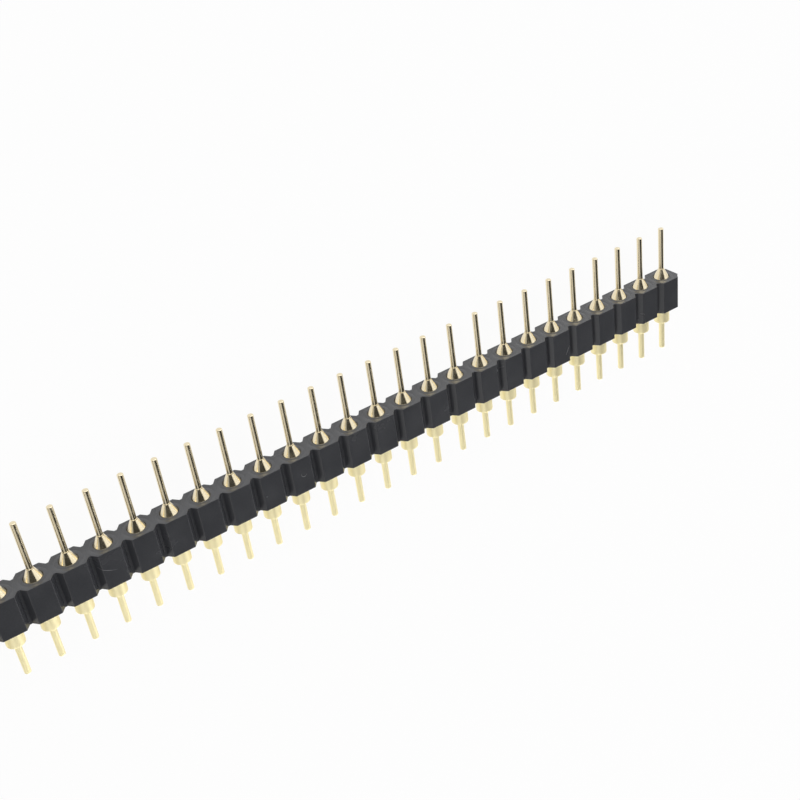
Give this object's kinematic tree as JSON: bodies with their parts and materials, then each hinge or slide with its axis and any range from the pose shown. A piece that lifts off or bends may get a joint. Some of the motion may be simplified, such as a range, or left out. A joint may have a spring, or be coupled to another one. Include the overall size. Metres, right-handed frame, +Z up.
{
  "type": "pin header strip",
  "caption": "Single-row breakaway header strip: turned round pins pressed through a scored black housing, for soldering to a board.",
  "frame": {"origin": "on the surface that the loose strip lies on, halfway along the row and halfway along the pins", "axes": "+X along the row, +Y along the pins from the board tails to the contact tips, +Z up, from the housing side that it lies on to the other side"},
  "size_m": [0.0812, 0.0118, 0.0024],
  "materials": {
    "housing": "moulded black thermoplastic, low sheen",
    "pins": "turned brass, plated pale gold"
  },
  "bodies": {
    "root": {"housing": "housing", "pin_01": "pins", "pin_02": "pins", "pin_03": "pins", "pin_04": "pins", "pin_05": "pins", "pin_06": "pins", "pin_07": "pins", "pin_08": "pins", "pin_09": "pins", "pin_10": "pins", "pin_11": "pins", "pin_12": "pins", "pin_13": "pins", "pin_14": "pins", "pin_15": "pins", "pin_16": "pins", "pin_17": "pins", "pin_18": "pins", "pin_19": "pins", "pin_20": "pins", "pin_21": "pins", "pin_22": "pins", "pin_23": "pins", "pin_24": "pins", "pin_25": "pins", "pin_26": "pins", "pin_27": "pins", "pin_28": "pins", "pin_29": "pins", "pin_30": "pins", "pin_31": "pins", "pin_32": "pins"}
  },
  "joints": []
}
